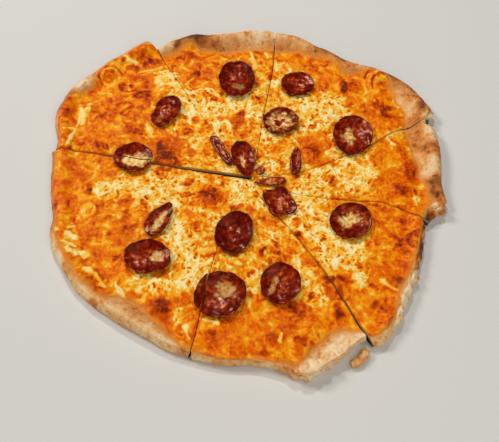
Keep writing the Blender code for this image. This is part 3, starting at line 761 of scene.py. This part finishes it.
def cheese_sheet(name, slice_name, piece, step, lift):
    """One side of a slice's cheese. Lift says whether it is the upper side, with the relief, or the lower."""
    length = rim_facts(piece, np.zeros(1))[2]
    columns, rows = round(length / CHEESE_STEP / UNDER_STEPS), round(SLICE_LENGTH / CHEESE_STEP / UNDER_STEPS)
    sheet, across, out = flat_grid(name, columns * step, rows * step)
    bare, reach, _ = rim_facts(piece, across)
    ragged_bare = cheese_edge(slice_name, piece, across)
    out = out * (1 - ragged_bare / reach)
    places = slice_places(piece, across, out)
    inset = (1 - out) * reach
    under = dough_top(places, inset, bare)
    to_edge = inset - ragged_bare
    fade = 4.2 + 3.4 * hills(6, 53, across * length, inset)
    thin = 0.75 * ease(1 - to_edge / fade) * ease((bare - 3) / 5)
    if not lift:
        return sheet, places, under - CHEESE_SINK, thin
    fill = ease(to_edge / CHEESE_TAPER)
    thickness = CHEESE_EDGE_THICKNESS + (CHEESE_THICKNESS - CHEESE_EDGE_THICKNESS) * fill
    thickness *= ease((to_edge + 0.8) / 3)
    to_cut = np.minimum(across, 1 - across) * np.hypot(*(places - piece_tip(piece)).T) * slice_angle(piece)
    pressed = KNIFE_PRESS * (1 - ease(to_cut / KNIFE_REACH)) ** 2 * ease(out * reach / PRESSED_FROM)
    relief = (read(curd_relief, places) * 0.95 + read(wave_relief, places)) * (0.25 + 0.75 * fill)
    return sheet, places, under + thickness + relief * ease((to_edge + 0.5) / 4) - pressed, thin


def piece_tip(piece):
    """Where a slice comes to its point."""
    return beside_cut(piece["cuts"][0], np.zeros(1), 1)[0]


def slice_angle(piece):
    """The angle between a slice's two cuts, in radians."""
    first, last = (math.atan2(*np.array(piece["rim"][i][:2])[::-1]) for i in (0, -1))
    return (last - first) % (2 * math.pi)


def make_cheese(name, piece):
    """One slice's cheese: an upper and a lower sheet, joined all round their edge."""
    upper, places, height, thin = cheese_sheet(f"melted_cheese_{name}", name, piece, UNDER_STEPS, True)
    put_points(upper, in_frame(places, height))
    count = len(height)
    lower, places, height, _ = cheese_sheet(f"under_{name}", name, piece, 1, False)
    put_points(lower, in_frame(places, height))
    only(upper)
    lower.select_set(True)
    bpy.ops.object.join()
    bpy.ops.object.mode_set(mode="EDIT")
    bpy.ops.mesh.select_mode(type="EDGE")
    bpy.ops.mesh.select_all(action="DESELECT")
    bpy.ops.mesh.select_non_manifold(extend=False, use_wire=False, use_multi_face=False, use_verts=False)
    bpy.ops.mesh.bridge_edge_loops()
    bpy.ops.object.mode_set(mode="OBJECT")

    points = points_of(upper)
    places = points[:, :2] / MM - MEETING_POINT
    inside = np.concatenate([np.zeros(count), np.ones(len(points) - count)])
    mark(upper, "browning", read(heat, places))
    mark(upper, "inside", inside)
    mark(upper, "thin", np.concatenate([thin, np.zeros(len(points) - count)]))
    mark(upper, "oil", read(fattiness, places))
    upper.data.materials.append(cheese_material)
    face_out(upper)
    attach(upper, "root")
    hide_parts(f"cheese_{name}")


# Melted mozzarella. Its fat came out in the oven and lies on it as a thin clear film, so it has a soft gloss,
# and the curd shows through from cream and yellow to deep orange where the fat took up the sauce's red.
# Toasted blisters go brown. Its real grain is curd fibre under 0.3 mm, too fine to show, so it is drawn at
# 1.4 mm, as small as the picture still shows.
CHEESE_BANDS = [
    (0.00, "#FEEBB2"), (0.10, "#FCD878"), (0.23, "#F9B424"), (0.38, "#F38A04"), (0.53, "#E66602"),
    (0.67, "#C84802"), (0.82, "#8E2C04"), (1.0, "#4C1204"),
]
CURD_GRAIN = 1.4
CURD_FIBRE = 1.0
BAKED_ON = "#DC8A34"
CHEESE_INSIDE = "#E6C27C"
OIL_GLINT = "#FFCB8C"
cheese_material, shader = new_material("melted mozzarella")
place = add_node(cheese_material, "TexCoord", out="Object")
grain = add_node(cheese_material, "TexNoise", Vector=place, Scale=1 / (CURD_GRAIN * MM), Detail=3.0)
warmth = add_node(cheese_material, "Attribute", {"attribute_name": "browning"}, "Fac")
warmth = add_node(cheese_material, "Math", {"operation": "MULTIPLY_ADD"}, _0=grain, _1=0.26, _2=warmth)
warmth = add_node(cheese_material, "Math", {"operation": "SUBTRACT"}, _0=warmth, _1=0.13)
skin = add_node(cheese_material, "ValToRGB", stops=CHEESE_BANDS, _0=warmth)
for name, code in (("thin", BAKED_ON), ("inside", CHEESE_INSIDE)):
    amount = add_node(cheese_material, "Attribute", {"attribute_name": name}, "Fac")
    skin = add_node(cheese_material, "Mix", {"data_type": "RGBA"}, 2, _0=amount, _6=skin, _7=linear(code))
cheese_material.node_tree.links.new(skin, shader.inputs["Base Color"])
film = add_node(cheese_material, "Attribute", {"attribute_name": "oil"}, "Fac")
gloss = add_node(cheese_material, "Math", {"operation": "MULTIPLY_ADD"}, _0=film, _1=-0.12, _2=0.38)
dry = add_node(cheese_material, "Attribute", {"attribute_name": "thin"}, "Fac")
gloss = add_node(cheese_material, "Math", {"operation": "MULTIPLY_ADD"}, _0=dry, _1=0.25, _2=gloss)
cheese_material.node_tree.links.new(gloss, shader.inputs["Roughness"])
shader.inputs["IOR"].default_value = 1.44
shader.inputs["Specular IOR Level"].default_value = 0.2
shader.inputs["Specular Tint"].default_value = linear(OIL_GLINT)
fibre = add_node(cheese_material, "TexNoise", Vector=place, Scale=1 / (CURD_FIBRE * MM), Detail=4.0)
bump = add_node(cheese_material, "Bump", Height=fibre, Strength=0.5, Distance=0.6 * MM)
cheese_material.node_tree.links.new(bump, shader.inputs["Normal"])

for name, piece in SLICES.items():
    make_cheese(name, piece)


# The sausage: thin slices of cured spiced pork. In the oven their edges shrink and curl up into cups, the
# fat renders out and leaves them dark and greasy, and some have cheese melted over them.

SAUSAGE_THICKNESS = 2.6
SAUSAGE_DISH = 1.2
SAUSAGE_SINK = 0.4
KNIFE_GAP = 0.9
SAUSAGE_SIDES = 80
SAUSAGE_RINGS = 44

# Each slice: its middle, its length and width, the turn of its length from +X, and how far its edge curls.
# A pinch narrows one end, a notch is a bite at an angle from its length, and knife names the cut across it.
# Corners are their number, depth and angle. Cheese that melted over it: its middle and its half length and
# width, all as shares of the slice, and how well it covers. A ring's cheese is open inside this share.
SAUSAGES = {
    "sausage_back": dict(
        middle=(-12, 97.5), size=(39, 31), turn=88, curl=2.4, cheese=(-0.4, -0.1, 0.22, 0.4, 0.25),
        darker=0.05,
    ),
    "sausage_back_right": dict(middle=(40, 93.8), size=(29, 25), turn=10, curl=1.6, corners=(4, 0.04, 45)),
    "sausage_upper_right": dict(
        middle=(25.5, 53.8), size=(30, 27), turn=15, curl=2.2, cheese=(0, 0, 0.72, 0.7, 0.95), ring=0.4,
    ),
    "sausage_right": dict(
        middle=(85, 41), size=(40, 32), turn=78, curl=2.2, cheese=(-0.1, 0.2, 0.4, 0.34, 0.9),
    ),
    "sausage_crescent": dict(
        middle=(37.8, 15.6), size=(27, 14), turn=86, curl=0.6, pinch=0.7, corners=(3, 0.10, 180), darker=0.06,
    ),
    "sausage_upper_left": dict(
        middle=(-71, 61.5), size=(33, 20), turn=63, curl=2.0, cheese=(-0.5, 0.1, 0.3, 0.2, 0.2), pinch=-0.25,
        notch=100,
    ),
    "sausage_left": dict(
        middle=(-94, 14.8), size=(32, 27), turn=4, curl=2.2, cheese=(0.1, -0.2, 0.82, 0.5, 1.0), knife="west",
    ),
    "sausage_middle": dict(
        middle=(-4.5, 15.5), size=(35, 23), turn=-78, curl=2.0, cheese=(0.12, -0.12, 0.36, 0.2, 0.75),
        pinch=0.4,
    ),
    "sausage_middle_strip": dict(
        middle=(-22.8, 23.8), size=(34, 9), turn=-60, curl=0.6, pinch=0.25, corners=(4, 0.07, 45),
    ),
    "sausage_tip": dict(middle=(24.5, -23.5), size=(28, 23), turn=-52, curl=1.0, corners=(4, 0.10, 30)),
    "sausage_tip_strip": dict(
        middle=(18.6, -4.4), size=(25, 7), turn=6, curl=0.4, corners=(3, 0.10, 60), darker=-0.16,
    ),
    "sausage_lower_right": dict(
        middle=(79.5, -39.5), size=(34, 31), turn=20, curl=2.2, cheese=(-0.05, 0.1, 0.56, 0.4, 0.95),
    ),
    "sausage_lower_middle": dict(middle=(-10.5, -51.5), size=(38, 29), turn=72, curl=2.4, darker=0.1),
    "sausage_front_left": dict(
        middle=(-19.5, -103), size=(40, 36), turn=40, curl=2.6, cheese=(0.28, 0.05, 0.42, 0.5, 0.55),
        knife="south_west",
    ),
    "sausage_front_right": dict(
        middle=(25, -93.5), size=(34, 30), turn=70, curl=2.2, cheese=(-0.2, 0.3, 0.5, 0.18, 0.45),
    ),
    "sausage_teardrop": dict(
        middle=(-68.5, -41), size=(32, 21), turn=62, curl=1.8, cheese=(-0.1, -0.1, 0.7, 0.42, 0.7),
        pinch=0.45,
    ),
    "sausage_lower_left": dict(
        middle=(-75, -73.5), size=(36, 28), turn=-4, curl=2.6, cheese=(0.4, 0.1, 0.42, 0.36, 0.65),
    ),
    "sausage_scrap": dict(middle=(9.3, 5.6), size=(8.5, 7), turn=60, curl=0.4, darker=-0.15),
}

# Cured sausage. Ground meat and fat pressed into a skin and dried, so it is dark red with paler bits of fat
# of 1 to 4 mm. The oven drew grease out of it, which leaves it wet and glossy, darkest at its crisp edge.
MEAT_BANDS = [
    (0.22, "#4E0A02"), (0.42, "#741605"), (0.54, "#942C0A"), (0.66, "#B04C18"), (0.78, "#C87638"),
    (0.92, "#E2A668"),
]
MELTED_BANDS = [(0.3, "#CC6A24"), (0.43, "#E8B054"), (0.56, "#F4D285"), (0.72, "#FBE8B6")]
MELTED_LUMP = 2.8
MEAT_GRAIN = 3.0
WRINKLE = 5.0
GREASE_GLINT = "#FFC0A0"
sausage_material, shader = new_material("cured sausage")
place = add_node(sausage_material, "TexCoord", out="Object")
marbling = add_node(sausage_material, "TexNoise", Vector=place, Scale=1 / (MEAT_GRAIN * MM), Detail=5.0)
fat = add_node(sausage_material, "Attribute", {"attribute_name": "fat"}, "Fac")
marbling = add_node(sausage_material, "Math", _0=marbling, _1=fat)
meat = add_node(sausage_material, "ValToRGB", stops=MEAT_BANDS, _0=marbling)
lumps = add_node(sausage_material, "TexNoise", Vector=place, Scale=1 / (MELTED_LUMP * MM), Detail=3.0)
melted = add_node(sausage_material, "ValToRGB", stops=MELTED_BANDS, _0=lumps)
cover = add_node(sausage_material, "Attribute", {"attribute_name": "cheesy"}, "Fac")
skin = add_node(sausage_material, "Mix", {"data_type": "RGBA"}, 2, _0=cover, _6=meat, _7=melted)
sausage_material.node_tree.links.new(skin, shader.inputs["Base Color"])
shader.inputs["Roughness"].default_value = 0.2
shader.inputs["IOR"].default_value = 1.4
shader.inputs["Specular IOR Level"].default_value = 0.3
shader.inputs["Specular Tint"].default_value = linear(GREASE_GLINT)
wrinkles = add_node(sausage_material, "TexNoise", Vector=place, Scale=1 / (WRINKLE * MM), Detail=4.0)
bump = add_node(sausage_material, "Bump", Height=wrinkles, Strength=0.2, Distance=0.8 * MM)
sausage_material.node_tree.links.new(bump, shader.inputs["Normal"])


def make_sausage(name, node, middle, size, turn, curl, cheese=(0, 0, 1, 1, 0), pinch=0.0, notch=None,
                 corners=(3, 0.0, 0), darker=0.0, ring=0.0, knife=None, side=1):
    """One slice of sausage, or the part of it on one side of the knife's cut."""
    bpy.ops.object.select_all(action="DESELECT")
    bpy.ops.mesh.primitive_uv_sphere_add(segments=SAUSAGE_SIDES, ring_count=SAUSAGE_RINGS, radius=1)
    sausage = bpy.context.object
    sausage.name = sausage.data.name = name
    seed = sum(map(ord, node.rstrip("_ab")))
    ball = points_of(sausage)
    reach = np.minimum(1, np.hypot(ball[:, 0], ball[:, 1]))
    angle = np.arctan2(ball[:, 1], ball[:, 0])
    round_x, round_y = np.cos(angle), np.sin(angle)

    # The outline shrank unevenly, and each slice has a few shallow folds that run in from its edge.
    outline = 1 + 0.05 * hills(0.8, seed, round_x, round_y) + 0.035 * hills(0.3, seed + 5, round_x, round_y)
    outline += corners[1] * np.cos(corners[0] * (angle - math.radians(corners[2])))
    if notch is not None:
        turned_away = np.abs((angle - math.radians(notch) + math.pi) % (2 * math.pi) - math.pi)
        outline -= 0.2 * ease(1 - turned_away / 0.55)
    narrow = 1 - pinch * (1 + ball[:, 0]) / 2
    half = np.array(size) / 2
    flat = np.column_stack([ball[:, 0] * half[0], ball[:, 1] * narrow * half[1]])
    flat *= (1 + (outline - 1) * ease(reach))[:, None]
    turned = math.radians(turn)
    spin = np.array([[math.cos(turned), math.sin(turned)], [-math.sin(turned), math.cos(turned)]])
    places = np.array(middle) + flat @ spin

    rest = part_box(node)[0][2] / MM
    upper = ball[:, 2] > 0
    level = 0.5 + 0.5 * np.sign(ball[:, 2]) * np.sqrt(np.maximum(0, 1 - reach**6))
    folds = 1 + 0.35 * hills(0.7, seed + 1, round_x, round_y)
    rings = 0.16 * np.sin(reach * 12 + 2.5 * hills(0.9, seed + 6, ball[:, 0], ball[:, 1]))
    wrinkles = 0.42 * hills(6.5, seed + 2, *flat.T) + 0.10 * hills(2.4, seed + 7, *flat.T) + rings * reach
    smooth_edge = 1 - reach**8
    height = rest + SAUSAGE_THICKNESS * level + curl * reach**3 * folds - SAUSAGE_SINK
    height -= np.where(upper, SAUSAGE_DISH * (1 - reach**2) * min(1, half[1] / 12), 0)
    height += wrinkles * smooth_edge * np.where(upper, 1, 0.3) * min(1, half[1] / 8)
    put_points(sausage, in_frame(places, height))

    away = np.hypot((ball[:, 0] - cheese[0]) / cheese[2], (ball[:, 1] - cheese[1]) / cheese[3])
    ragged = 0.40 * hills(6, seed + 3, *flat.T) + 0.35 * hills(2.6, seed + 8, *flat.T)
    spread = ease((1.1 - away + ragged) / 0.6) * cheese[4] * upper
    spread *= 1 - ease((ring - away + ragged) / 0.2 + 0.5) if ring else 1
    mark(sausage, "cheesy", spread)
    fat = 0.08 - 0.20 * reach**2 + 0.14 * hills(8, seed + 4, *flat.T) + 0.14 * hills(3, seed + 9, *flat.T)
    fat -= darker
    mark(sausage, "fat", fat - 0.15 * ~upper - 0.06)
    sausage.data.materials.append(sausage_material)
    if knife:
        path = CUTS[knife]["path"]
        shares = np.linspace(0, 1, 201)
        near = shares[np.argmin(np.linalg.norm(along(path, shares) - middle, axis=1))]
        ahead = along(path, np.array([near - 0.02, near + 0.02]))
        ahead = (ahead[1] - ahead[0]) / np.linalg.norm(ahead[1] - ahead[0])
        aside = np.array([-ahead[1], ahead[0]]) * side
        start = in_frame((along(path, np.array([near]))[0] + aside * KNIFE_GAP / 2)[None], np.zeros(1))[0]
        only(sausage)
        bpy.ops.object.mode_set(mode="EDIT")
        bpy.ops.mesh.select_all(action="SELECT")
        bpy.ops.mesh.bisect(plane_co=start, plane_no=(*aside, 0), use_fill=True, clear_inner=True)
        bpy.ops.object.mode_set(mode="OBJECT")
    face_out(sausage)
    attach(sausage, "root")
    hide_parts(node)


for name, facts in SAUSAGES.items():
    if "knife" not in facts:
        make_sausage(f"{name}_slice", name, **facts)
    else:
        make_sausage(f"{name}_upper_part", f"{name}_a", side=1, **facts)
        make_sausage(f"{name}_lower_part", f"{name}_b", side=-1, **facts)


# A shard of crust, the same baked bread as the rim, that tore loose from the front slice when it was cut and
# lies beside it. It is a bent finger of crumb and skin, flat where it rests.

SHARD_PATH = [(75.5, -152, 2.4), (80, -150, 2.8), (84.5, -146, 3.2), (87, -140.5, 3.4)]
SHARD_RADIUS = 2.9

bpy.ops.object.select_all(action="DESELECT")
bpy.ops.mesh.primitive_uv_sphere_add(segments=40, ring_count=60, radius=1, rotation=(0, math.pi / 2, 0))
shard = bpy.context.object
bpy.ops.object.transform_apply(location=True, rotation=True, scale=True)
shard.name = shard.data.name = "torn_crust_shard"
ball = points_of(shard)
centre = along(SHARD_PATH, 0.5 + 0.5 * ball[:, 0])
ahead = along(SHARD_PATH, 0.55 + 0.45 * ball[:, 0]) - along(SHARD_PATH, 0.45 + 0.45 * ball[:, 0])
aside = np.column_stack([-ahead[:, 1], ahead[:, 0]]) / np.linalg.norm(ahead[:, :2], axis=1)[:, None]
thickness = SHARD_RADIUS * (1 + 0.35 * hills(0.5, 71, ball[:, 0] * 3, ball[:, 1]))
girth = thickness * np.minimum(1, 2.2 * np.sqrt(np.maximum(0, 1 - ball[:, 0] ** 2)))
round_part = ball[:, 1:] / np.maximum(1e-6, np.linalg.norm(ball[:, 1:], axis=1))[:, None]
height = np.maximum(0.02, centre[:, 2] - 0.3 + round_part[:, 1] * girth * 0.8)
put_points(shard, in_frame(centre[:, :2] + aside * (round_part[:, 0] * girth)[:, None], height))
mark(shard, "toast", 0.22 + 0.3 * hills(4, 72, *centre[:, :2].T))
mark(shard, "stain", 0.2 + 0.4 * hills(5, 73, *centre[:, :2].T))
shard.data.materials.append(crust_material)
face_out(shard)
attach(shard, "root")
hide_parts("crust_shard")


# The stage: a plain pale floor, a large soft light behind and above, a weaker one in front, and the camera
# at the photograph's angle.

bpy.ops.object.select_all(action="DESELECT")
bpy.ops.mesh.primitive_plane_add(size=6, location=(0, 0, -0.0002))
floor = bpy.context.object
floor.name = "floor"
floor_material, shader = new_material("pale painted floor")
shader.inputs["Base Color"].default_value = linear("#DAD8D4")
shader.inputs["Roughness"].default_value = 0.8
floor.data.materials.append(floor_material)


def add_light(name, place, size, watts, code):
    light = bpy.data.lights.new(name, "AREA")
    light.energy, light.size, light.color = watts, size, linear(code)[:3]
    lamp = bpy.data.objects.new(name, light)
    bpy.context.scene.collection.objects.link(lamp)
    lamp.location = place
    lamp.rotation_euler = (-Vector(place)).to_track_quat("-Z", "Y").to_euler()


# Each light: where it stands in metres, its size, its watts and its colour.
add_light("window", (-1.6, 0.85, 1.6), 0.6, 29, "#FFFCF5")
add_light("overhead", (0.5, -0.3, 1.1), 0.9, 4, "#FFFCF5")
add_light("front", (0.1, -1.1, 0.5), 0.9, 4, "#FFFCF5")
add_light("lamp", (-0.12, 0.72, 1.1), 0.1, 5, "#FFFFFF")
world = bpy.data.worlds.new("soft room")
world.use_nodes = True
world.node_tree.nodes["Background"].inputs["Color"].default_value = (1, 1, 1, 1)
world.node_tree.nodes["Background"].inputs["Strength"].default_value = 0.07
bpy.context.scene.world = world
bpy.context.scene.view_settings.view_transform = "Standard"

# The directions that the camera's picture runs, right, up and forward, and where it stands.
CAMERA_RIGHT = (0.99979, 0.01696, 0.01146)
CAMERA_UP = (-0.02037, 0.87986, 0.47479)
CAMERA_FORWARD = (0.00203, 0.47493, -0.88002)
CAMERA_PLACE = (3.2, -307.7, 512.2)
CAMERA_LENS = 53.24
NEAREST_SEEN = 0.01
camera = bpy.data.objects.new("camera", bpy.data.cameras.new("camera"))
camera.data.lens = CAMERA_LENS
camera.data.clip_start = NEAREST_SEEN
turned = Matrix((CAMERA_RIGHT, CAMERA_UP, [-c for c in CAMERA_FORWARD])).transposed()
camera.matrix_world = Matrix.Translation(Vector(CAMERA_PLACE) * MM) @ turned.to_4x4()
bpy.context.scene.collection.objects.link(camera)
bpy.context.scene.camera = camera
